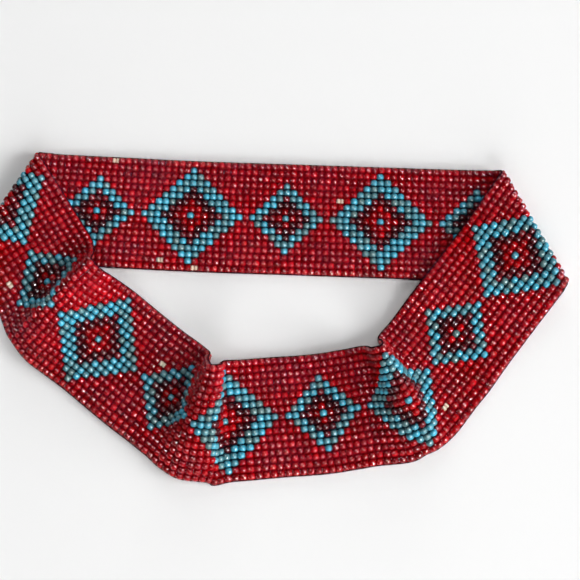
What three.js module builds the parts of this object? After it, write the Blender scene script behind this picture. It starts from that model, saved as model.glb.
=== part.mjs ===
// A beaded belt: one loop of loom-woven glass seed beads, laid down folded flat.
// The back half lies on the table. The front half comes round two flat folds, one at each end, and
// three ridges stand up where it turns the corners between them. Millimetres, +Z up.
// The woven band is one piece: 17 rows of beads across, 196 columns round, threads between them.
import * as THREE from 'three';
import { ParametricGeometry } from 'three/addons/geometries/ParametricGeometry.js';
import { mergeVertices } from 'three/addons/utils/BufferGeometryUtils.js';

// Driving sizes
const beadDiameter = 3.3;       // also the band's thickness
const columnPitch = 3.42;       // from one bead to the next along the band
const rowPitch = 3.42;          // from one bead to the next across it
const rows = 17;
const columns = 196;
const foldRadius = 3.1;         // of the band's middle surface, round each end fold
const layerGap = 0.3;           // air between the two layers at the folds

const layerStep = beadDiameter + layerGap;
const half = rows / 2;

// A fold: the band turns over a line on the table. `at` is the column where the lower layer ends,
// x and y the place there in column pitches, `line` the fold's direction in degrees, `skew` the
// columns that the fold line gains per row, and `way` +1 where the band goes up, -1 where it comes down.
const folds = [
  { at: 62.7, x: 34.55, y: 9.65, line: -63, skew: 0.52, way: 1 },
  { at: 183.4, x: -41.05, y: 12.65, line: -120.5, skew: -0.54, way: -1 },
];

// The sections: `at` is the column of beads on the band's middle row. x and y are its place in
// column pitches, `aim` the direction in degrees from the inner edge to the outer edge, `skew` the
// columns gained per row. `layer` is how many layers the band lies up on at the inner edge, the
// middle and the outer edge. `rise` is a ridge's height at the same three, in row pitches.
const sections = [
  { at: 0, x: -28.6, y: 11.95, aim: -94 },
  { at: 14, x: -14.6, y: 11.2, aim: -93 },
  { at: 28, x: -0.65, y: 10.7, aim: -92.2 },
  { at: 42, x: 13.35, y: 10.2, aim: -91.8 },
  { at: 52, x: 23.5, y: 9.85, aim: -91.5 },
  { at: 57, x: 28.65, y: 9.7, aim: -88, skew: 0.06 },
  { at: 60, x: 31.7, y: 9.65, aim: -75.5, skew: 0.29 },
  // the right end, over the back half and down off its edge
  { at: 70, x: 32.65, y: 4.65, aim: -42, skew: 0.12, layer: [1, 1, 1], rise: [0.4, 0.45, 0.3] },
  { at: 77, x: 28.3, y: -0.95, aim: -38, layer: [1.25, 0.95, 0.4] },
  { at: 84, x: 23.85, y: -6.65, aim: -37.5, layer: [0.75, 0.3, 0] },
  { at: 88, x: 21.3, y: -10.05, aim: -38, rise: [0.3, 0.1, 0] },
  // the ridge at the right corner
  { at: 91, x: 19.4, y: -12.3, aim: -39.5, rise: [0.7, 0.35, 0] },
  { at: 93.6, x: 18.2, y: -14.1, aim: -48, rise: [2.2, 0.95, 0.1] },
  { at: 95.8, x: 17.5, y: -15.35, aim: -55.5, rise: [4.7, 2.6, 0.35] },
  { at: 97.2, x: 16.9, y: -16.45, aim: -58.5, rise: [6.4, 4.05, 0.5] },
  { at: 98.8, x: 15.8, y: -16.95, aim: -63, rise: [6.5, 4.1, 0.5] },
  { at: 100.5, x: 14.5, y: -17.2, aim: -67.5, rise: [4.6, 2.8, 0.4] },
  { at: 102.5, x: 13.2, y: -17.0, aim: -75, rise: [1.9, 1.2, 0.2] },
  { at: 105, x: 11.35, y: -17.0, aim: -81, rise: [0.6, 0.2, 0.05] },
  // the front
  { at: 108, x: 8.55, y: -17.45, aim: -82 },
  { at: 112, x: 4.75, y: -18.05, aim: -82 },
  { at: 119, x: -2.2, y: -18.6, aim: -82.5 },
  { at: 123, x: -6.0, y: -18.95, aim: -84, rise: [0.25, 0.1, 0] },
  // the ridge at the left corner
  { at: 126, x: -9.2, y: -19.3, aim: -88, rise: [1.4, 0.4, 0] },
  { at: 128, x: -10.1, y: -19.9, aim: -94, rise: [3.9, 2.0, 0.1] },
  { at: 129.8, x: -10.5, y: -20.15, aim: -98, rise: [6.2, 3.9, 0.25] },
  { at: 131.4, x: -11.7, y: -20.3, aim: -102.5, rise: [6.8, 4.4, 0.3] },
  { at: 133.2, x: -13.4, y: -20.0, aim: -108, rise: [6.4, 4.2, 0.3] },
  { at: 135.3, x: -14.7, y: -18.6, aim: -113.5, rise: [4.6, 3.0, 0.2] },
  { at: 138, x: -15.6, y: -17.0, aim: -120, rise: [1.7, 1.0, 0.05] },
  { at: 140.5, x: -17.1, y: -15.65, aim: -124.5, rise: [0.4, 0.15, 0] },
  { at: 145, x: -20.75, y: -12.9, aim: -125.5 },
  { at: 150, x: -24.55, y: -9.85, aim: -126, rise: [0.15, 0.05, 0] },
  // the low ridge before the left end
  { at: 154, x: -27.6, y: -7.4, aim: -127, rise: [0.6, 0.3, 0] },
  { at: 158, x: -30.4, y: -5.55, aim: -129.5, rise: [2.0, 1.45, 0.1] },
  { at: 161.3, x: -32.7, y: -4.2, aim: -132.5, rise: [4.7, 3.2, 0.4] },
  { at: 163.6, x: -34.0, y: -2.75, aim: -136, rise: [5.5, 3.75, 0.45] },
  { at: 166.2, x: -34.6, y: -0.8, aim: -138.5, rise: [2.8, 1.75, 0.2] },
  // the left end, up over the edge of the back half
  { at: 168.5, x: -35.3, y: 1.4, aim: -140.5, layer: [1.35, 0.75, 0.1] },
  { at: 172, x: -37.1, y: 4.25, aim: -144.5, layer: [1.25, 1.1, 0.5] },
  { at: 175.5, x: -39.0, y: 7.2, aim: -147, skew: -0.03, layer: [1, 1, 1], rise: [0.4, 0.3, 0.1] },
  { at: 186.5, x: -38.15, y: 12.5, aim: -108.5, skew: -0.27 },
  { at: 189.5, x: -35.2, y: 12.3, aim: -96, skew: -0.04 },
];

// A section worked out in millimetres
function station({ at, x, y, aim, skew = 0, layer = [0, 0, 0], rise = [0, 0, 0] }) {
  const height = [0, 1, 2].map((i) => beadDiameter / 2 + layer[i] * layerStep + rise[i] * rowPitch);
  return { at, x: x * columnPitch, y: y * columnPitch, aim, skew,
    inner: height[0], middle: height[1], outer: height[2] };
}

// Five stations round a fold's half turn
function turnOver({ at, x, y, line, skew, way }) {
  const along = new THREE.Vector2(1, 0).rotateAround(new THREE.Vector2(), THREE.MathUtils.degToRad(line));
  const out = new THREE.Vector2(-along.y, along.x).multiplyScalar(way);
  return [0, 0.25, 0.5, 0.75, 1].map((part) => {
    const angle = Math.PI * part;
    const run = foldRadius * angle;
    const height = beadDiameter / 2 + foldRadius * (1 - Math.cos(angle));
    return {
      at: at + way * run * Math.hypot(1, skew) / columnPitch,
      x: x * columnPitch + out.x * foldRadius * Math.sin(angle) + along.x * run * Math.abs(skew),
      y: y * columnPitch + out.y * foldRadius * Math.sin(angle) + along.y * run * Math.abs(skew),
      aim: line, skew, inner: height, middle: height, outer: height,
    };
  });
}

const stations = [...sections.map(station), ...folds.flatMap(turnOver)].sort((a, b) => a.at - b.at);

// A smooth closed curve through one named value of the stations. `level` keeps it from passing
// above or below its own stations, so that what lies on the table stays on it.
function curve(name, level) {
  const count = stations.length;
  const value = (i) => stations[(i + count) % count][name];
  const place = (i) => stations[(i + count) % count].at + columns * Math.floor(i / count);
  const slopes = stations.map((s, i) => {
    const before = (value(i) - value(i - 1)) / (place(i) - place(i - 1));
    const after = (value(i + 1) - value(i)) / (place(i + 1) - place(i));
    if (level) return before * after <= 0 ? 0 : 2 * before * after / (before + after);
    const a = place(i) - place(i - 1);
    const b = place(i + 1) - place(i);
    return (before * b + after * a) / (a + b);
  });
  return (column) => {
    let i = stations.findLastIndex((s) => s.at <= column);
    if (i < 0) i = 0;
    const span = place(i + 1) - place(i);
    const s = (column - place(i)) / span;
    const t = 1 - s;
    return (1 + 2 * s) * t * t * value(i) + s * t * t * span * slopes[i]
      + s * s * (3 - 2 * s) * value(i + 1) - s * s * t * span * slopes[(i + 1) % count];
  };
}

const shape = {};
for (const name of ['x', 'y', 'aim', 'skew']) shape[name] = curve(name, false);
for (const name of ['inner', 'middle', 'outer']) shape[name] = curve(name, true);

// The band's middle surface, at a column of the middle row and a number of rows off it
function middleSurface(column, row) {
  const aim = THREE.MathUtils.degToRad(shape.aim(column));
  const stretch = Math.hypot(1, shape.skew(column) * columnPitch / rowPitch);
  const inner = shape.inner(column);
  const middle = shape.middle(column);
  const outer = shape.outer(column);
  const side = row / half;
  const climb = (outer - inner) / 2 * side + ((outer + inner) / 2 - middle) * side * side;
  const length = row * rowPitch * stretch;
  const reach = Math.sign(row) * Math.sqrt(Math.max(0, length * length - climb * climb));
  return new THREE.Vector3(
    shape.x(column) + reach * Math.cos(aim),
    shape.y(column) + reach * Math.sin(aim),
    middle + climb,
  );
}

function faceDirection(column, row) {
  const step = 0.05;
  const along = middleSurface(column + step, row).sub(middleSurface(column - step, row));
  const across = middleSurface(column, row + step).sub(middleSurface(column, row - step));
  return across.cross(along).normalize();
}

// Where the cuts go: each stretch between two stations in as many equal parts
const parts = 3;
const cuts = stations.flatMap((s, i) => {
  const end = i + 1 < stations.length ? stations[i + 1].at : stations[0].at + columns;
  return Array.from({ length: parts }, (_, k) => s.at + (end - s.at) * k / parts);
});

// Round the section: along one face from the inner edge to the outer, and back along the other
const strips = 6;
const outline = [];
for (let k = 0; k <= strips; k++) outline.push({ row: half * (2 * k / strips - 1), face: 1 });
for (let k = strips; k >= 0; k--) outline.push({ row: half * (2 * k / strips - 1), face: -1 });

const woven = new ParametricGeometry((round, along, target) => {
  const corner = outline[Math.round(round * outline.length) % outline.length];
  const column = cuts[Math.round(along * cuts.length) % cuts.length];
  const face = faceDirection(column, corner.row).multiplyScalar(corner.face * beadDiameter / 2);
  target.copy(middleSurface(column, corner.row)).add(face);
}, outline.length, cuts.length);
woven.deleteAttribute('normal');
woven.deleteAttribute('uv');

const bandGeometry = mergeVertices(woven, 1e-4);
bandGeometry.computeVertexNormals();
bandGeometry.computeBoundingBox();

const band = new THREE.Mesh(bandGeometry, new THREE.MeshStandardMaterial({
  color: 0xa80f1c, roughness: 0.25, metalness: 0,
}));
band.name = 'bead_band';

// The origin is on the table under the middle of the laid loop
const middle = bandGeometry.boundingBox.getCenter(new THREE.Vector3());
band.position.set(-middle.x, -middle.y, -bandGeometry.boundingBox.min.z);

const belt = new THREE.Group();
belt.name = 'beaded_belt';
belt.add(band);

export default belt;
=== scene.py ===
# %% [markdown]
# # A loom-woven seed bead belt, laid down folded
# The belt is one closed loop of glass seed beads, 17 rows across and 196 columns round. It lies on a
# table: the back half is flat, the front half comes round a fold at each end, and three ridges stand up
# where the front turns its corners. The CAD model holds the band as one smooth solid. Here it gets its
# real make-up: 3325 drilled beads, the warp threads between their rows, the thread round both edges,
# and the pale weft threads that show where a bead has broken away.

# %% The frame, and the box of the CAD model
import math

import bmesh
import bpy
import numpy as np
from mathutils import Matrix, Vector


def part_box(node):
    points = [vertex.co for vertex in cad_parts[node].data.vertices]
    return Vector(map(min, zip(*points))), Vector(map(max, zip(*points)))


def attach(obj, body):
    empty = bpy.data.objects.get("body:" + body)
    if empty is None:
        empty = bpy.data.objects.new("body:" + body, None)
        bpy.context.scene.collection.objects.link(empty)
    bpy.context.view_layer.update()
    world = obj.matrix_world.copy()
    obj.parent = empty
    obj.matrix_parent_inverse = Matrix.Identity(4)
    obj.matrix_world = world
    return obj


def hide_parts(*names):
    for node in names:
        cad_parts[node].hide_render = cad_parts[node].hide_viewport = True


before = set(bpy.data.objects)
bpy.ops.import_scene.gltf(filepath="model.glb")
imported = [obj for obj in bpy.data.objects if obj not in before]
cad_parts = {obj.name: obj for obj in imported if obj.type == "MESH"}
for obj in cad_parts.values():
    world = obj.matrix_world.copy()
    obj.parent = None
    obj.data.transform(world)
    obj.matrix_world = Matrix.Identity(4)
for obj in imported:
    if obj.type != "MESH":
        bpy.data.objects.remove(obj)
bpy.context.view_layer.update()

# %% [markdown]
# ## The sizes
# A weave is a grid, so a few sizes drive everything: the bead's diameter, the pitch along the band and
# the pitch across it. All of them are in metres, as everything in Blender is here.

# %% Sizes
MM = 0.001
BEAD_DIAMETER = 3.3 * MM
BEAD_LENGTH = 2.9 * MM
HOLE_DIAMETER = 1.1 * MM
COLUMN_PITCH = 3.42 * MM
ROW_PITCH = 3.42 * MM
ROWS = 17
COLUMNS = 196
HALF = ROWS / 2
FOLD_RADIUS = 3.1 * MM
LAYER_GAP = 0.3 * MM
LAYER_STEP = BEAD_DIAMETER + LAYER_GAP
print("band", round(ROWS * ROW_PITCH / MM, 1), "mm wide")
print("loop", round(COLUMNS * COLUMN_PITCH / MM), "mm round")

# %% [markdown]
# ## The laid shape
# The band could be draped by a cloth simulation, but then it would find its own folds. A table of
# sections puts each fold and ridge where the photograph has it. A section is a straight cut across the
# band. `x` and `y` are its middle in column pitches, `aim` is its direction in degrees from the inner
# edge to the outer edge, and `skew` is how many columns it gains per row, which is what lets it lie
# along a slanting fold. `layer` and `rise` lift its inner edge, middle and outer edge, in layers of
# band and in row pitches. The two folds are half turns of one radius about a line on the table.

# %% Folds and sections
FOLDS = [
    dict(at=62.7, x=34.55, y=9.65, line=-63, skew=0.52, way=1),
    dict(at=183.4, x=-41.05, y=12.65, line=-120.5, skew=-0.54, way=-1),
]
BACK_HALF = [
    dict(at=0, x=-28.6, y=11.95, aim=-94),
    dict(at=14, x=-14.6, y=11.2, aim=-93),
    dict(at=28, x=-0.65, y=10.7, aim=-92.2),
    dict(at=42, x=13.35, y=10.2, aim=-91.8),
    dict(at=52, x=23.5, y=9.85, aim=-91.5),
    dict(at=57, x=28.65, y=9.7, aim=-88, skew=0.06),
    dict(at=60, x=31.7, y=9.65, aim=-75.5, skew=0.29),
    dict(at=186.5, x=-38.15, y=12.5, aim=-108.5, skew=-0.27),
    dict(at=189.5, x=-35.2, y=12.3, aim=-96, skew=-0.04),
]
RIGHT_END = [
    dict(at=70, x=32.65, y=4.65, aim=-42, skew=0.12, layer=(1, 1, 1), rise=(0.4, 0.45, 0.3)),
    dict(at=77, x=28.3, y=-0.95, aim=-38, layer=(1.25, 0.95, 0.4)),
    dict(at=84, x=23.85, y=-6.65, aim=-37.5, layer=(0.75, 0.3, 0)),
    dict(at=88, x=21.3, y=-10.05, aim=-38, rise=(0.3, 0.1, 0)),
]
RIGHT_CORNER = [
    dict(at=91, x=19.4, y=-12.3, aim=-39.5, rise=(0.7, 0.35, 0)),
    dict(at=93.6, x=18.2, y=-14.1, aim=-48, rise=(2.2, 0.95, 0.1)),
    dict(at=95.8, x=17.5, y=-15.35, aim=-55.5, rise=(4.7, 2.6, 0.35)),
    dict(at=97.2, x=16.9, y=-16.45, aim=-58.5, rise=(6.4, 4.05, 0.5)),
    dict(at=98.8, x=15.8, y=-16.95, aim=-63, rise=(6.5, 4.1, 0.5)),
    dict(at=100.5, x=14.5, y=-17.2, aim=-67.5, rise=(4.6, 2.8, 0.4)),
    dict(at=102.5, x=13.2, y=-17.0, aim=-75, rise=(1.9, 1.2, 0.2)),
    dict(at=105, x=11.35, y=-17.0, aim=-81, rise=(0.6, 0.2, 0.05)),
]
FRONT = [
    dict(at=108, x=8.55, y=-17.45, aim=-82),
    dict(at=112, x=4.75, y=-18.05, aim=-82),
    dict(at=119, x=-2.2, y=-18.6, aim=-82.5),
    dict(at=123, x=-6.0, y=-18.95, aim=-84, rise=(0.25, 0.1, 0)),
]
LEFT_CORNER = [
    dict(at=126, x=-9.2, y=-19.3, aim=-88, rise=(1.4, 0.4, 0)),
    dict(at=128, x=-10.1, y=-19.9, aim=-94, rise=(3.9, 2.0, 0.1)),
    dict(at=129.8, x=-10.5, y=-20.15, aim=-98, rise=(6.2, 3.9, 0.25)),
    dict(at=131.4, x=-11.7, y=-20.3, aim=-102.5, rise=(6.8, 4.4, 0.3)),
    dict(at=133.2, x=-13.4, y=-20.0, aim=-108, rise=(6.4, 4.2, 0.3)),
    dict(at=135.3, x=-14.7, y=-18.6, aim=-113.5, rise=(4.6, 3.0, 0.2)),
    dict(at=138, x=-15.6, y=-17.0, aim=-120, rise=(1.7, 1.0, 0.05)),
    dict(at=140.5, x=-17.1, y=-15.65, aim=-124.5, rise=(0.4, 0.15, 0)),
    dict(at=145, x=-20.75, y=-12.9, aim=-125.5),
    dict(at=150, x=-24.55, y=-9.85, aim=-126, rise=(0.15, 0.05, 0)),
]
LEFT_END = [
    dict(at=154, x=-27.6, y=-7.4, aim=-127, rise=(0.6, 0.3, 0)),
    dict(at=158, x=-30.4, y=-5.55, aim=-129.5, rise=(2.0, 1.45, 0.1)),
    dict(at=161.3, x=-32.7, y=-4.2, aim=-132.5, rise=(4.7, 3.2, 0.4)),
    dict(at=163.6, x=-34.0, y=-2.75, aim=-136, rise=(5.5, 3.75, 0.45)),
    dict(at=166.2, x=-34.6, y=-0.8, aim=-138.5, rise=(2.8, 1.75, 0.2)),
    dict(at=168.5, x=-35.3, y=1.4, aim=-140.5, layer=(1.35, 0.75, 0.1)),
    dict(at=172, x=-37.1, y=4.25, aim=-144.5, layer=(1.25, 1.1, 0.5)),
    dict(at=175.5, x=-39.0, y=7.2, aim=-147, skew=-0.03, layer=(1, 1, 1), rise=(0.4, 0.3, 0.1)),
]
SECTIONS = BACK_HALF + RIGHT_END + RIGHT_CORNER + FRONT + LEFT_CORNER + LEFT_END
print(len(SECTIONS), "sections and", len(FOLDS), "folds")


# %% Sections and folds worked out in metres
def station(at, x, y, aim, skew=0.0, layer=(0, 0, 0), rise=(0, 0, 0)):
    heights = [BEAD_DIAMETER / 2 + l * LAYER_STEP + r * ROW_PITCH for l, r in zip(layer, rise)]
    return dict(at=at, x=x * COLUMN_PITCH, y=y * COLUMN_PITCH, aim=aim, skew=skew,
                inner=heights[0], middle=heights[1], outer=heights[2])


def turn_over(at, x, y, line, skew, way):
    """Five stations round a fold's half turn."""
    along = np.array([math.cos(math.radians(line)), math.sin(math.radians(line))])
    out = way * np.array([-along[1], along[0]])
    made = []
    for angle in (0.0, 0.25 * math.pi, 0.5 * math.pi, 0.75 * math.pi, math.pi):
        run = FOLD_RADIUS * angle
        spot = np.array([x, y]) * COLUMN_PITCH
        spot += out * FOLD_RADIUS * math.sin(angle) + along * run * abs(skew)
        height = BEAD_DIAMETER / 2 + FOLD_RADIUS * (1 - math.cos(angle))
        made.append(dict(at=at + way * run * math.hypot(1, skew) / COLUMN_PITCH, x=spot[0], y=spot[1],
                         aim=line, skew=skew, inner=height, middle=height, outer=height))
    return made


stations = [station(**s) for s in SECTIONS]
for fold in FOLDS:
    stations += turn_over(**fold)
stations.sort(key=lambda s: s["at"])
print(len(stations), "stations round the loop")


# %% Smooth closed curves through the stations
def curve(name, level=False):
    """A closed curve through one value of the stations. A level one never passes its own stations."""
    place = np.array([s["at"] for s in stations])
    value = np.array([s[name] for s in stations], float)
    gap = np.diff(np.append(place, place[0] + COLUMNS))
    after = np.diff(np.append(value, value[0])) / gap
    before = np.roll(after, 1)
    gap_before = np.roll(gap, 1)
    if level:
        same_way = before * after > 0
        total = np.where(same_way, before + after, 1.0)
        slope = np.where(same_way, 2 * before * after / total, 0.0)
    else:
        slope = (before * gap + after * gap_before) / (gap + gap_before)

    def read(column):
        column = np.mod(column, COLUMNS)
        i = np.searchsorted(place, column, side="right") - 1
        j = (i + 1) % len(place)
        s = (column - place[i]) / gap[i]
        t = 1 - s
        return ((1 + 2 * s) * t * t * value[i] + s * t * t * gap[i] * slope[i]
                + s * s * (3 - 2 * s) * value[j] - s * s * t * gap[i] * slope[j])

    return read


shape = {name: curve(name) for name in ("x", "y", "aim", "skew")}
shape.update({name: curve(name, level=True) for name in ("inner", "middle", "outer")})
print("height of the middle row at column 131:", round(float(shape["middle"](131.0)) / MM, 1), "mm")


# %% The band's middle surface
def section_point(column, row):
    """A place on the section whose middle is at this column, a number of rows off the middle."""
    aim = np.radians(shape["aim"](column))
    stretch = np.hypot(1, shape["skew"](column) * COLUMN_PITCH / ROW_PITCH)
    inner, middle, outer = (shape[name](column) for name in ("inner", "middle", "outer"))
    side = row / HALF
    climb = (outer - inner) / 2 * side + ((outer + inner) / 2 - middle) * side * side
    length = row * ROW_PITCH * stretch
    reach = np.sign(row) * np.sqrt(np.maximum(0, length * length - climb * climb))
    return np.stack([shape["x"](column) + reach * np.cos(aim),
                     shape["y"](column) + reach * np.sin(aim), middle + climb], axis=-1)


SETTLING_STEPS = 60


def section_of(column, row):
    """The section through a column and row of the weave. Near a fold a section crosses several columns,
    so the answer is found by half steps that settle on it."""
    section = column.copy()
    for _ in range(SETTLING_STEPS):
        section = 0.5 * section + 0.5 * (column - shape["skew"](section) * row)
    return section


# %% [markdown]
# ## Beads at an even pitch
# Between two sections the curves run a little fast or slow, and beads set by them would crowd and part.
# In the real weave every bead takes the same room. So the length of each row is measured all the way
# round, smoothed over a few columns, and each place in the row moves to where the smoothed length says.
# The surface stays as it is: only the beads slide along it, by less than a bead.

# %% Places evened out along the rows
STEPS = 4
SMOOTHING = 2.2
SMOOTHED_OVER = 8
ROW_STEP = 0.5
fine_columns = np.arange(COLUMNS * STEPS) / STEPS
fine_rows = np.arange(-HALF - ROW_STEP, HALF + 1.5 * ROW_STEP, ROW_STEP)


def slide_along(row):
    """How many columns each place in a row slides, so that equal steps are nearly equal lengths."""
    spots = section_point(section_of(fine_columns, np.full_like(fine_columns, row)), row)
    steps = np.linalg.norm(np.roll(spots, -1, axis=0) - spots, axis=1)
    way = np.concatenate([[0], np.cumsum(steps)])
    loop = way[-1]
    even = loop * fine_columns / COLUMNS
    reach = np.arange(-SMOOTHED_OVER * STEPS, SMOOTHED_OVER * STEPS + 1)
    share = np.exp(-0.5 * (reach / (SMOOTHING * STEPS)) ** 2)
    share /= share.sum()
    wanted = even + sum(s * np.roll(way[:-1] - even, -k) for s, k in zip(share, reach))
    three_loops = np.concatenate([way[:-1] - loop, way[:-1], way[:-1] + loop])
    three_turns = np.concatenate([fine_columns - COLUMNS, fine_columns, fine_columns + COLUMNS])
    return np.interp(wanted, three_loops, three_turns) - fine_columns


slides = np.array([slide_along(row) for row in fine_rows])
print("places slide by up to", round(float(np.abs(slides).max()), 2), "columns")


# %% Places and directions on the weave
def weave_point(column, row):
    """Where the weave's own column and row lie. The slide is read between the four nearest places."""
    column, row = np.broadcast_arrays(np.asarray(column, float), np.asarray(row, float))
    across = np.clip((row - fine_rows[0]) / ROW_STEP, 0, len(fine_rows) - 1.001)
    along = np.mod(column, COLUMNS) * STEPS
    i, j = across.astype(int), along.astype(int) % len(fine_columns)
    k, s, t = (j + 1) % len(fine_columns), across % 1, along % 1
    slide = ((1 - s) * ((1 - t) * slides[i, j] + t * slides[i, k])
             + s * ((1 - t) * slides[i + 1, j] + t * slides[i + 1, k]))
    return section_point(section_of(column + slide, row), row)


def unit(v):
    return v / np.linalg.norm(v, axis=-1, keepdims=True)


def weave_frame(column, row, step=0.2):
    """Place, direction along the band, direction across it and face normal at a point of the weave."""
    along = weave_point(column + step, row) - weave_point(column - step, row)
    across = weave_point(column, row + step) - weave_point(column, row - step)
    return weave_point(column, row), unit(along), unit(across), unit(np.cross(across, along))


# %% Where the laid loop's middle is
edge_columns = np.arange(0, COLUMNS, 0.25)
outline = []
for edge_row in np.linspace(-HALF, HALF, 9):
    spot, _, _, face = weave_frame(edge_columns, np.full_like(edge_columns, edge_row))
    outline += [spot + face * BEAD_DIAMETER / 2, spot - face * BEAD_DIAMETER / 2]
outline = np.concatenate(outline)
loop_middle = (outline.min(axis=0) + outline.max(axis=0)) / 2
cad_low, cad_high = (np.array(corner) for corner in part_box("bead_band"))
shift = np.append(((cad_low + cad_high) / 2 - loop_middle)[:2], 0.0)
print("the table's own origin lies at", np.round(shift[:2] / MM, 2), "mm in the frame")

# %% [markdown]
# ## The camera
# The photograph looks down at the belt from the front, 76 degrees above the table, from about half a
# metre away. The nearer beads are larger in it, and how much larger gives the distance.

# %% Camera
ELEVATION = math.radians(76)
DISTANCE = 0.55
PHOTO_WIDTH = 580
FOCAL_PIXELS = 1103
SENSOR_WIDTH = 36
camera_data = bpy.data.cameras.new("camera")
camera_data.sensor_width = SENSOR_WIDTH
camera_data.lens = FOCAL_PIXELS / PHOTO_WIDTH * SENSOR_WIDTH
camera = bpy.data.objects.new("camera", camera_data)
camera.location = Vector(shift) + DISTANCE * Vector((0, -math.cos(ELEVATION), math.sin(ELEVATION)))
camera.rotation_euler = (math.pi / 2 - ELEVATION, 0, 0)
bpy.context.scene.collection.objects.link(camera)
bpy.context.scene.camera = camera
print("lens", round(camera_data.lens, 1), "mm")

# %% [markdown]
# ## The drilled bead
# A seed bead is a short length of glass tube, tumbled until its edges are round. It is lathed here
# from six points: the hole, the rounded ends and the straight outside. With ten sides it has sixty
# faces, which is enough for a thing that is repeated 3300 times, because smooth shading rounds it.


# %% One bead
def lathe(name, profile, sides):
    """A closed ring of faces round the Z axis from a closed profile of (radius, height) points."""
    mesh = bmesh.new()
    rings = []
    for k in range(sides):
        turn = 2 * math.pi * k / sides
        rings.append([mesh.verts.new((r * math.cos(turn), r * math.sin(turn), z)) for r, z in profile])
    for k in range(sides):
        here, there = rings[k], rings[(k + 1) % sides]
        for i in range(len(profile)):
            j = (i + 1) % len(profile)
            mesh.faces.new((here[i], there[i], there[j], here[j])).smooth = True
    bmesh.ops.recalc_face_normals(mesh, faces=mesh.faces)
    data = bpy.data.meshes.new(name)
    mesh.to_mesh(data)
    mesh.free()
    return bpy.data.objects.new(name, data)


radius, end, hole = BEAD_DIAMETER / 2, BEAD_LENGTH / 2, HOLE_DIAMETER / 2
bead = lathe("drilled_bead", [(hole, -0.9 * end), (0.64 * radius, -end), (radius, -0.5 * end),
                              (radius, 0.5 * end), (0.64 * radius, end), (hole, 0.9 * end)], 10)
print("one bead has", len(bead.data.polygons), "faces")

# %% [markdown]
# ## The chart
# A loom worker counts beads from a chart. The pattern repeats every 28 columns: a small stepped diamond
# and, 14 columns on, a large one. In both, the colour depends only on how many beads a place is from
# the diamond's centre, counted along the column and the row. Everything else is red. The beads that
# are missing are named by column and row.

# %% Chart of the beads
REPEAT = 28
SMALL_DIAMOND = "TRGGTT"
LARGE_DIAMOND = "TRRGGTTT"
MISSING = {(10, 7), (15, 8), (36, -3), (2, -8), (171, 5), (144, -3), (93, 5)}


def glass_of(column, row):
    """T for turquoise, G for garnet, R for red."""
    place = column % REPEAT
    from_small = min(place, REPEAT - place) + abs(row)
    from_large = abs(place - REPEAT // 2) + abs(row)
    if from_large < len(LARGE_DIAMOND):
        return LARGE_DIAMOND[from_large]
    if from_small < len(SMALL_DIAMOND):
        return SMALL_DIAMOND[from_small]
    return "R"


all_rows = range(-(ROWS // 2), ROWS // 2 + 1)
places = [(c, r) for c in range(COLUMNS) for r in all_rows if (c, r) not in MISSING]
chart = {letter: [p for p in places if glass_of(*p) == letter] for letter in "TGR"}
print({letter: len(found) for letter, found in chart.items()}, "beads, and", len(MISSING), "missing")
for row in all_rows:
    print("".join(glass_of(column, row) for column in range(REPEAT)).replace("R", "."))

# %% [markdown]
# ## The finishes
# Three glasses and three threads. The red glass is clear crimson, deep in its body and bright where
# light gathers, and no two beads match. It could be made to refract. Here a little light spread under
# its surface stands for the glow instead. The turquoise is opaque, and runs from clear blue to grey
# green. The garnet is nearly black. Each bead carries its own number, `tint`, and the materials read
# it from the mesh, so the shade changes from bead to bead. A finer noise mottles each bead a little.


# %% Helpers for materials
def new_material(name):
    material = bpy.data.materials.new(name)
    material.use_nodes = True
    tree = material.node_tree
    tree.nodes.clear()
    shader = tree.nodes.new("ShaderNodeBsdfPrincipled")
    output = tree.nodes.new("ShaderNodeOutputMaterial")
    tree.links.new(shader.outputs["BSDF"], output.inputs["Surface"])
    return material, tree, shader


def shade_ramp(tree, factor, stops):
    """Colours by a number from 0 to 1. Each stop is (place, (red, green, blue))."""
    ramp = tree.nodes.new("ShaderNodeValToRGB")
    elements = ramp.color_ramp.elements
    while len(elements) < len(stops):
        elements.new(0.5)
    for element, (place, colour) in zip(elements, stops):
        element.position = place
        element.color = (*colour, 1)
    tree.links.new(factor, ramp.inputs["Fac"])
    return ramp.outputs["Color"]


def object_noise(tree, scale, detail):
    place = tree.nodes.new("ShaderNodeTexCoord")
    noise = tree.nodes.new("ShaderNodeTexNoise")
    noise.inputs["Scale"].default_value = scale
    noise.inputs["Detail"].default_value = detail
    tree.links.new(place.outputs["Object"], noise.inputs["Vector"])
    return noise.outputs["Fac"]


def blend_numbers(tree, first, second, share):
    """share of the second number, the rest of the first."""
    mix = tree.nodes.new("ShaderNodeMix")
    mix.inputs["Factor"].default_value = share
    tree.links.new(first, mix.inputs["A"])
    tree.links.new(second, mix.inputs["B"])
    return mix.outputs["Result"]


def add_bump(tree, shader, height, distance, strength):
    bump = tree.nodes.new("ShaderNodeBump")
    bump.inputs["Distance"].default_value = distance
    bump.inputs["Strength"].default_value = strength
    tree.links.new(height, bump.inputs["Height"])
    tree.links.new(bump.outputs["Normal"], shader.inputs["Normal"])


# %% Bead glass
SLOW_NOISE = 30
MOTTLE_NOISE = 750
DIMPLE_NOISE = 1300
DIMPLE_DEPTH = 0.25 * MM
GLOW_DEPTH = 1.2 * MM


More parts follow.
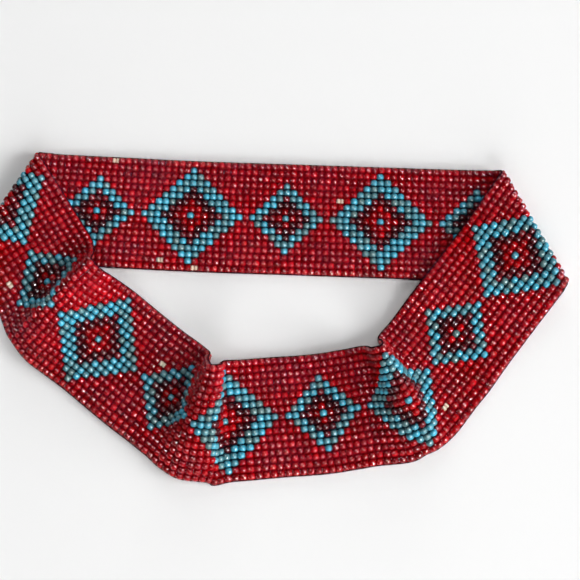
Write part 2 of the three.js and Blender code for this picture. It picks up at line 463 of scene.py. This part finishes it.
def bead_glass(name, stops, roughness, glow, glow_reach, glints):
    """Glass by bead: `tint` picks the shade, two noises shift it, and the finest dimples the surface."""
    material, tree, shader = new_material(name)
    tint = tree.nodes.new("ShaderNodeAttribute")
    tint.attribute_name = "tint"
    tone = blend_numbers(tree, tint.outputs["Fac"], object_noise(tree, SLOW_NOISE, 1.0), 0.2)
    tone = blend_numbers(tree, tone, object_noise(tree, MOTTLE_NOISE, 1.0), 0.25)
    tree.links.new(shade_ramp(tree, tone, stops), shader.inputs["Base Color"])
    shader.inputs["Roughness"].default_value = roughness
    shader.inputs["IOR"].default_value = 1.52
    shader.inputs["Subsurface Weight"].default_value = glow
    shader.inputs["Subsurface Radius"].default_value = glow_reach
    shader.inputs["Subsurface Scale"].default_value = GLOW_DEPTH
    add_bump(tree, shader, object_noise(tree, DIMPLE_NOISE, 1.0), DIMPLE_DEPTH, glints)
    return material


red_glass = bead_glass(
    "crimson_glass",
    [(0.15, (0.15, 0.001, 0.001)), (0.34, (0.24, 0.001, 0.002)),
     (0.68, (0.33, 0.001, 0.002)), (0.85, (0.5, 0.002, 0.004))],
    roughness=0.08, glow=0.2, glow_reach=(1.0, 0.04, 0.03), glints=0.1)
turquoise_glass = bead_glass(
    "turquoise_glass",
    [(0.2, (0.085, 0.155, 0.155)), (0.45, (0.055, 0.2, 0.245)), (0.75, (0.04, 0.3, 0.42))],
    roughness=0.24, glow=0.1, glow_reach=(0.4, 0.8, 1.0), glints=0.15)
garnet_glass = bead_glass(
    "garnet_glass",
    [(0.2, (0.032, 0.001, 0.003)), (0.6, (0.08, 0.001, 0.004)), (0.85, (0.17, 0.002, 0.006))],
    roughness=0.26, glow=0.0, glow_reach=(1.0, 0.1, 0.1), glints=0.5)
print("bead glasses:", red_glass.name, turquoise_glass.name, garnet_glass.name)


# %% Thread
FIBRE_NOISE = 2600
FIBRE_DEPTH = 0.15 * MM


def twisted_thread(name, stops, roughness, by=None):
    """Thread whose fibres pick its shade. With `by`, an attribute picks it and the fibres only shift it."""
    material, tree, shader = new_material(name)
    fibres = object_noise(tree, FIBRE_NOISE, 4.0)
    tone = fibres
    if by:
        beside = tree.nodes.new("ShaderNodeAttribute")
        beside.attribute_name = by
        tone = blend_numbers(tree, beside.outputs["Fac"], fibres, 0.15)
    tree.links.new(shade_ramp(tree, tone, stops), shader.inputs["Base Color"])
    shader.inputs["Roughness"].default_value = roughness
    shader.inputs["Specular IOR Level"].default_value = 0.0
    add_bump(tree, shader, fibres, FIBRE_DEPTH, 0.6)
    return material


# The warp's own colour is the near black middle stop. The dark red and dark blue stops are painted glow,
# standing for light that has come through the red and the turquoise glass.
warp_thread = twisted_thread(
    "warp_thread",
    [(0.12, (0.2, 0.0005, 0.001)), (0.5, (0.012, 0.001, 0.002)), (0.88, (0.002, 0.018, 0.032))],
    roughness=0.9, by="beside")
edge_thread = twisted_thread(
    "edge_thread", [(0.3, (0.012, 0.001, 0.003)), (0.7, (0.03, 0.003, 0.007))], roughness=0.9)
weft_thread = twisted_thread(
    "cream_thread", [(0.3, (0.56, 0.39, 0.27)), (0.7, (0.88, 0.69, 0.53))], roughness=0.75)
print("threads:", warp_thread.name, edge_thread.name, weft_thread.name)

# %% [markdown]
# ## Beads on the weave
# Geometry Nodes set the beads. The input is a mesh of bare points, one per bead, and each point carries
# the directions along and across the band there. Two axes make a rotation: the hole lies across the
# band, because the weft goes through it. Random numbers with a fixed seed give each bead its own size,
# lean and tint, as no two seed beads are quite alike.


# %% Helper: a tree reads what each point carries
def named_attribute(tree, name, kind):
    node = tree.nodes.new("GeometryNodeInputNamedAttribute")
    node.data_type = kind
    node.inputs["Name"].default_value = name
    return node.outputs["Attribute"]


# %% The tree that sets beads
def bead_setter():
    tree = bpy.data.node_groups.new("set_beads", "GeometryNodeTree")
    face = tree.interface
    face.new_socket("Points", in_out="INPUT", socket_type="NodeSocketGeometry")
    face.new_socket("Bead", in_out="INPUT", socket_type="NodeSocketObject")
    face.new_socket("Glass", in_out="INPUT", socket_type="NodeSocketMaterial")
    face.new_socket("Uneven", in_out="INPUT", socket_type="NodeSocketFloat")
    face.new_socket("Askew", in_out="INPUT", socket_type="NodeSocketFloat")
    face.new_socket("Seed", in_out="INPUT", socket_type="NodeSocketInt")
    face.new_socket("Beads", in_out="OUTPUT", socket_type="NodeSocketGeometry")
    nodes, link = tree.nodes, tree.links.new
    given = nodes.new("NodeGroupInput")
    made = nodes.new("NodeGroupOutput")

    # The turn: the hole across the band, one side along it.
    turn = nodes.new("FunctionNodeAxesToRotation")
    turn.primary_axis = "Z"
    turn.secondary_axis = "X"
    link(named_attribute(tree, "across", "FLOAT_VECTOR"), turn.inputs["Primary Axis"])
    link(named_attribute(tree, "along", "FLOAT_VECTOR"), turn.inputs["Secondary Axis"])

    # The size: the room a bead has, a little more or less by chance.
    low = nodes.new("ShaderNodeMath")
    low.operation = "SUBTRACT"
    low.inputs[0].default_value = 1.0
    link(given.outputs["Uneven"], low.inputs[1])
    high = nodes.new("ShaderNodeMath")
    high.operation = "ADD"
    high.inputs[0].default_value = 1.0
    link(given.outputs["Uneven"], high.inputs[1])
    uneven = nodes.new("FunctionNodeRandomValue")
    uneven.data_type = "FLOAT"
    link(low.outputs[0], uneven.inputs[2])
    link(high.outputs[0], uneven.inputs[3])
    link(given.outputs["Seed"], uneven.inputs["Seed"])
    size_ways = nodes.new("ShaderNodeVectorMath")
    size_ways.operation = "SCALE"
    link(named_attribute(tree, "room", "FLOAT_VECTOR"), size_ways.inputs["Vector"])
    link(uneven.outputs[1], size_ways.inputs["Scale"])

    where = nodes.new("GeometryNodeObjectInfo")
    link(given.outputs["Bead"], where.inputs["Object"])
    place = nodes.new("GeometryNodeInstanceOnPoints")
    link(given.outputs["Points"], place.inputs["Points"])
    link(where.outputs["Geometry"], place.inputs["Instance"])
    link(turn.outputs["Rotation"], place.inputs["Rotation"])
    link(size_ways.outputs["Vector"], place.inputs["Scale"])

    def other_seed(step):
        node = nodes.new("FunctionNodeIntegerMath")
        node.operation = "ADD"
        node.inputs[1].default_value = step
        link(given.outputs["Seed"], node.inputs[0])
        return node.outputs[0]

    # The lean: a small chance turn about all three axes.
    most = nodes.new("ShaderNodeCombineXYZ")
    least = nodes.new("ShaderNodeVectorMath")
    least.operation = "SCALE"
    least.inputs["Scale"].default_value = -1
    for axis in "XYZ":
        link(given.outputs["Askew"], most.inputs[axis])
    link(most.outputs[0], least.inputs["Vector"])
    lean = nodes.new("FunctionNodeRandomValue")
    lean.data_type = "FLOAT_VECTOR"
    link(least.outputs["Vector"], lean.inputs[0])
    link(most.outputs[0], lean.inputs[1])
    link(other_seed(200), lean.inputs["Seed"])
    tilt = nodes.new("GeometryNodeRotateInstances")
    link(place.outputs["Instances"], tilt.inputs["Instances"])
    link(lean.outputs[0], tilt.inputs["Rotation"])

    # The tint: a chance number from 0 to 1, kept on the bead for its material.
    shade = nodes.new("FunctionNodeRandomValue")
    shade.data_type = "FLOAT"
    link(other_seed(100), shade.inputs["Seed"])
    keep = nodes.new("GeometryNodeStoreNamedAttribute")
    keep.data_type = "FLOAT"
    keep.domain = "INSTANCE"
    keep.inputs["Name"].default_value = "tint"
    link(tilt.outputs["Instances"], keep.inputs["Geometry"])
    link(shade.outputs[1], keep.inputs["Value"])

    real = nodes.new("GeometryNodeRealizeInstances")
    link(keep.outputs["Geometry"], real.inputs["Geometry"])
    finish = nodes.new("GeometryNodeSetMaterial")
    link(real.outputs["Geometry"], finish.inputs["Geometry"])
    link(given.outputs["Glass"], finish.inputs["Material"])
    link(finish.outputs["Geometry"], made.inputs["Beads"])
    return tree


set_beads = bead_setter()
print("inputs:", [s.name for s in set_beads.interface.items_tree if s.in_out == "INPUT"])


# %% Helpers: a modifier's named inputs, and a plain mesh from the result
def grow(name, start, tree, inputs):
    """Runs a tree on an object and keeps the result as a plain mesh object."""
    scene = bpy.context.scene
    scene.collection.objects.link(start)
    modifier = start.modifiers.new("grow", "NODES")
    modifier.node_group = tree
    sockets = {s.name: s.identifier for s in tree.interface.items_tree if s.in_out == "INPUT"}
    for label, value in inputs.items():
        modifier[sockets[label]] = value
    evaluated = start.evaluated_get(bpy.context.evaluated_depsgraph_get())
    mesh = bpy.data.meshes.new_from_object(evaluated)
    mesh.name = name
    piece = bpy.data.objects.new(name, mesh)
    scene.collection.objects.link(piece)
    bpy.data.objects.remove(start)
    return piece


def triangles(piece):
    return sum(len(p.vertices) - 2 for p in piece.data.polygons)


def points_mesh(name, spots, edges=(), **values_by_name):
    data = bpy.data.meshes.new(name)
    data.from_pydata([tuple(p) for p in spots], list(edges), [])
    for label, values in values_by_name.items():
        values = np.asarray(values, np.float32)
        kind, field = ("FLOAT", "value") if values.ndim == 1 else ("FLOAT_VECTOR", "vector")
        data.attributes.new(label, kind, "POINT").data.foreach_set(field, values.ravel())
    return bpy.data.objects.new(name, data)


# %% Set the beads of one glass
WANDER = 0.14
WAVES = ((0.37, 2.4), (0.11, -1.3))
SNUG = 1.07
ROOM_ALONG = (0.92, 1.35)
ROOM_ACROSS = (0.92, 1.16)
UNEVEN = 0.05
ASKEW = 0.09


def string_beads(name, where, glass, seed):
    """Beads of one glass. Each row wanders a little along the band, so that the columns aren't ruled.
    A bead grows or shrinks with the room it has where the weave fans out or closes up."""
    columns, rows = (np.array(v, float) for v in zip(*where))
    spot, along, across, _ = weave_frame(columns, rows)
    wander = WANDER
    for by_column, by_row in WAVES:
        wander = wander * np.sin(by_column * columns + by_row * rows)
    spot = spot + along * (wander * COLUMN_PITCH)[:, None]
    beside = np.linalg.norm(weave_point(columns + 0.5, rows) - weave_point(columns - 0.5, rows), axis=1)
    endwise = np.linalg.norm(weave_point(columns, rows + 0.5) - weave_point(columns, rows - 0.5), axis=1)
    room = np.stack([np.clip(SNUG * beside / COLUMN_PITCH, *ROOM_ALONG), np.ones(len(rows)),
                     np.clip(endwise / ROW_PITCH, *ROOM_ACROSS)], axis=1)
    start = points_mesh(name + "_points", spot + shift, along=along, across=across, room=room)
    inputs = {"Bead": bead, "Glass": glass, "Uneven": UNEVEN, "Askew": ASKEW, "Seed": seed}
    beads = grow(name, start, set_beads, inputs)
    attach(beads, "root")
    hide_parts("bead_band")
    print(name, len(where), "beads,", triangles(beads), "triangles")
    return beads


# %% The red field, the turquoise and the garnet
half_way = COLUMNS // 2
first_half = [p for p in chart["R"] if p[0] < half_way]
second_half = [p for p in chart["R"] if p[0] >= half_way]
red_back = string_beads("red_beads_back", first_half, red_glass, 3)
red_front = string_beads("red_beads_front", second_half, red_glass, 4)
turquoise = string_beads("turquoise_beads", chart["T"], turquoise_glass, 5)
garnet = string_beads("garnet_beads", chart["G"], garnet_glass, 6)

# %% [markdown]
# ## The threads
# On a bead loom the warp runs the length of the band between the rows, and the weft goes across it
# through every bead. So dark lines of warp show between the rows, two strands side by side in each,
# with one more just inside each edge. Geometry Nodes sweep a round section along closed lines of the
# weave, and along both edges. The warp is near black, and its colour is painted dark red beside red
# beads and dark blue beside turquoise: a painted glow that stands for light that has come through the
# glass. So each point of a thread carries a number, `beside`, for the beads that touch it.


# %% The tree that sweeps a thread
def thread_sweeper():
    tree = bpy.data.node_groups.new("sweep_thread", "GeometryNodeTree")
    face = tree.interface
    face.new_socket("Line", in_out="INPUT", socket_type="NodeSocketGeometry")
    face.new_socket("Radius", in_out="INPUT", socket_type="NodeSocketFloat")
    face.new_socket("Sides", in_out="INPUT", socket_type="NodeSocketInt")
    face.new_socket("Thread", in_out="INPUT", socket_type="NodeSocketMaterial")
    face.new_socket("Thread mesh", in_out="OUTPUT", socket_type="NodeSocketGeometry")
    nodes, link = tree.nodes, tree.links.new
    given = nodes.new("NodeGroupInput")
    made = nodes.new("NodeGroupOutput")
    follow = nodes.new("GeometryNodeMeshToCurve")
    link(given.outputs["Line"], follow.inputs["Mesh"])
    round_section = nodes.new("GeometryNodeCurvePrimitiveCircle")
    link(given.outputs["Radius"], round_section.inputs["Radius"])
    link(given.outputs["Sides"], round_section.inputs["Resolution"])
    sweep = nodes.new("GeometryNodeCurveToMesh")
    sweep.inputs["Fill Caps"].default_value = True
    link(follow.outputs["Curve"], sweep.inputs["Curve"])
    link(named_attribute(tree, "thick", "FLOAT"), sweep.inputs["Scale"])
    link(round_section.outputs["Curve"], sweep.inputs["Profile Curve"])
    real = nodes.new("GeometryNodeRealizeInstances")
    link(sweep.outputs["Mesh"], real.inputs["Geometry"])
    finish = nodes.new("GeometryNodeSetMaterial")
    link(real.outputs["Geometry"], finish.inputs["Geometry"])
    link(given.outputs["Thread"], finish.inputs["Material"])
    link(finish.outputs["Geometry"], made.inputs["Thread mesh"])
    return tree


sweep_thread = thread_sweeper()
print("inputs:", [s.name for s in sweep_thread.interface.items_tree if s.in_out == "INPUT"])


# %% Warp threads between the rows, and the edge threads
def painted_glow_beside(columns, row):
    """0 by red beads, 0.5 by garnet and 1 by turquoise, averaged over the beads that touch the thread.
    The number picks the painted glow in the warp's colour.
    """
    weight = {"R": 0.0, "G": 0.5, "T": 1.0}
    touching = [r for r in (math.floor(row), math.ceil(row)) if abs(r) <= ROWS // 2]
    return np.array([np.mean([weight[glass_of(round(c) % COLUMNS, r)] for r in touching]) for c in columns])


def closed_lines(name, rows, per_column):
    """One closed line round the loop for each row number."""
    columns = np.arange(0, COLUMNS, 1 / per_column)
    spots, edges, beside = [], [], []
    for row in rows:
        first = len(spots) * len(columns)
        spots.append(weave_point(columns, np.full_like(columns, row)) + shift)
        beside.append(painted_glow_beside(columns, row))
        edges += [(first + k, first + (k + 1) % len(columns)) for k in range(len(columns))]
    spots = np.concatenate(spots)
    return points_mesh(name, spots, edges, thick=np.ones(len(spots)), beside=np.concatenate(beside))


def run_thread(name, start, thread, radius, sides=6):
    piece = grow(name, start, sweep_thread, {"Radius": radius, "Sides": sides, "Thread": thread})
    piece.data.shade_smooth()
    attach(piece, "root")
    print(name, triangles(piece), "triangles")
    return piece


WARP_RADIUS = 0.42 * MM
EDGE_RADIUS = 0.38 * MM
OFF_THE_GAP = 0.105
INSIDE_THE_EDGE = 0.17
EDGE_INSET = 0.02
gaps = np.arange(-HALF + 1, HALF - 0.5)
strand_rows = [gap + side * OFF_THE_GAP for gap in gaps for side in (-1, 1)]
strand_rows += [-HALF + INSIDE_THE_EDGE, HALF - INSIDE_THE_EDGE]
warp_lines = closed_lines("warp_lines", strand_rows, 1)
warps = run_thread("warp_threads", warp_lines, warp_thread, WARP_RADIUS)
edge_lines = closed_lines("edge_lines", (-HALF + EDGE_INSET, HALF - EDGE_INSET), 2)
edges = run_thread("edge_threads", edge_lines, edge_thread, EDGE_RADIUS)

# %% [markdown]
# ## Where beads are missing
# Seven beads have broken away. There the weft shows, in cream. Inside the holes of the beads on both
# sides it is pinched thin, and in the open place it fluffs out into two short strands that lie side by
# side. The same tree sweeps them, with `thick` set point by point: two fluffed strands and a thin core.

# %% Bare weft at the missing beads
STRAND_RADIUS = 0.84 * MM
FLUFFED = dict(reach=[-0.33, -0.3, -0.14, 0, 0.14, 0.3, 0.33], thick=[0.8, 0.94, 1.03, 1, 1.03, 0.94, 0.8],
               apart=[1.0, 0.98, 0.93, 0.86, 0.93, 0.98, 1.0])
CORE = dict(reach=[-0.75, -0.25, 0.25, 0.75], thick=[0.25, 0.25, 0.25, 0.25], apart=[0, 0, 0, 0])
EDGE_MOST = HALF - 0.1
spots, joins, thicknesses = [], [], []


def lay_strand(column, row, side, reach, thick, apart):
    """A strand across the band at one place, set off sideways by `apart` millimetres."""
    rows = np.clip(row + np.array(reach), -EDGE_MOST, EDGE_MOST)
    spot, along, _, _ = weave_frame(np.full(len(rows), float(column)), rows)
    first = len(spots)
    spots.extend(spot + shift + along * (side * MM * np.array(apart))[:, None])
    joins.extend((first + k, first + k + 1) for k in range(len(rows) - 1))
    thicknesses.extend(thick)


for column, row in sorted(MISSING):
    lay_strand(column, row, -1, **FLUFFED)
    lay_strand(column, row, 1, **FLUFFED)
    lay_strand(column, row, 0, **CORE)
weft_lines = points_mesh("weft_lines", spots, joins, thick=thicknesses)
weft = run_thread("bare_weft", weft_lines, weft_thread, STRAND_RADIUS, sides=10)

# %% [markdown]
# ## The floor and the light
# The belt lies on a white surface. Large soft lamps light it from above and, low down, from the right,
# the front and the back, so its soft shadows lie close round it. Glass shows every lamp as a bright
# patch, and a large lamp would veil the whole bead. So the large ones are kept out of reflections, and
# three small lamps are seen in them alone: they are the sparks on each bead. The sky is a plain white
# backdrop behind the floor, and gives no light of its own.

# %% Floor
FLOOR_REACH = 3
corners = [(x * FLOOR_REACH, y * FLOOR_REACH, 0) for x, y in ((-1, -1), (1, -1), (1, 1), (-1, 1))]
floor_mesh = bpy.data.meshes.new("floor")
floor_mesh.from_pydata(corners, [], [(0, 1, 2, 3)])
floor = bpy.data.objects.new("floor", floor_mesh)
bpy.context.scene.collection.objects.link(floor)
paper, _, shader = new_material("white_surface")
shader.inputs["Base Color"].default_value = (0.85, 0.85, 0.85, 1)
shader.inputs["Roughness"].default_value = 0.9
shader.inputs["Specular IOR Level"].default_value = 0.1
floor_mesh.materials.append(paper)


# %% Lamps and sky
def lamp_at(name, place, size, power, sparkle=False):
    """A square lamp turned to the belt. A sparkle lamp is seen in reflections alone, the others never."""
    lamp = bpy.data.lights.new(name, "AREA")
    lamp.size = size
    lamp.energy = power
    holder = bpy.data.objects.new(name, lamp)
    holder.location = place
    holder.rotation_euler = (-Vector(place)).to_track_quat("-Z", "Y").to_euler()
    holder.visible_glossy = sparkle
    holder.visible_diffuse = not sparkle
    bpy.context.scene.collection.objects.link(holder)
    return holder


lamps = [
    lamp_at("top_lamp", (0.5, 0.2, 4.7), 2.9, 58),
    lamp_at("right_lamp", (3.9, -0.8, 1.1), 3.0, 290),
    lamp_at("front_lamp", (0.8, -4.0, 1.1), 3.0, 240),
    lamp_at("back_lamp", (0.5, 4.0, 1.1), 3.0, 115),
    lamp_at("front_spark", (1.15, -1.1, 1.9), 0.6, 150, sparkle=True),
    lamp_at("side_spark", (1.7, -0.5, 1.7), 0.3, 30, sparkle=True),
    lamp_at("back_spark", (-0.6, 0.75, 2.0), 0.3, 30, sparkle=True),
]
sky = bpy.data.worlds.new("pale_sky")
sky.use_nodes = True
sky.node_tree.nodes["Background"].inputs["Color"].default_value = (1.0, 1.0, 1.0, 1)
sky.node_tree.nodes["Background"].inputs["Strength"].default_value = 1.0
sky.cycles_visibility.diffuse = False
sky.cycles_visibility.glossy = False
bpy.context.scene.world = sky
bpy.context.scene.view_settings.view_transform = "Standard"
print("lamps:", [lamp.name for lamp in lamps])

# %% [markdown]
# ## The triangles of what was made
# The beads and threads have to fill the CAD band and no more. The triangles are counted too, because
# every piece has to stay light enough to export.

# %% Triangles in all
pieces = [red_back, red_front, turquoise, garnet, warps, edges, weft]
print(len(pieces), "pieces,", sum(triangles(piece) for piece in pieces), "triangles")
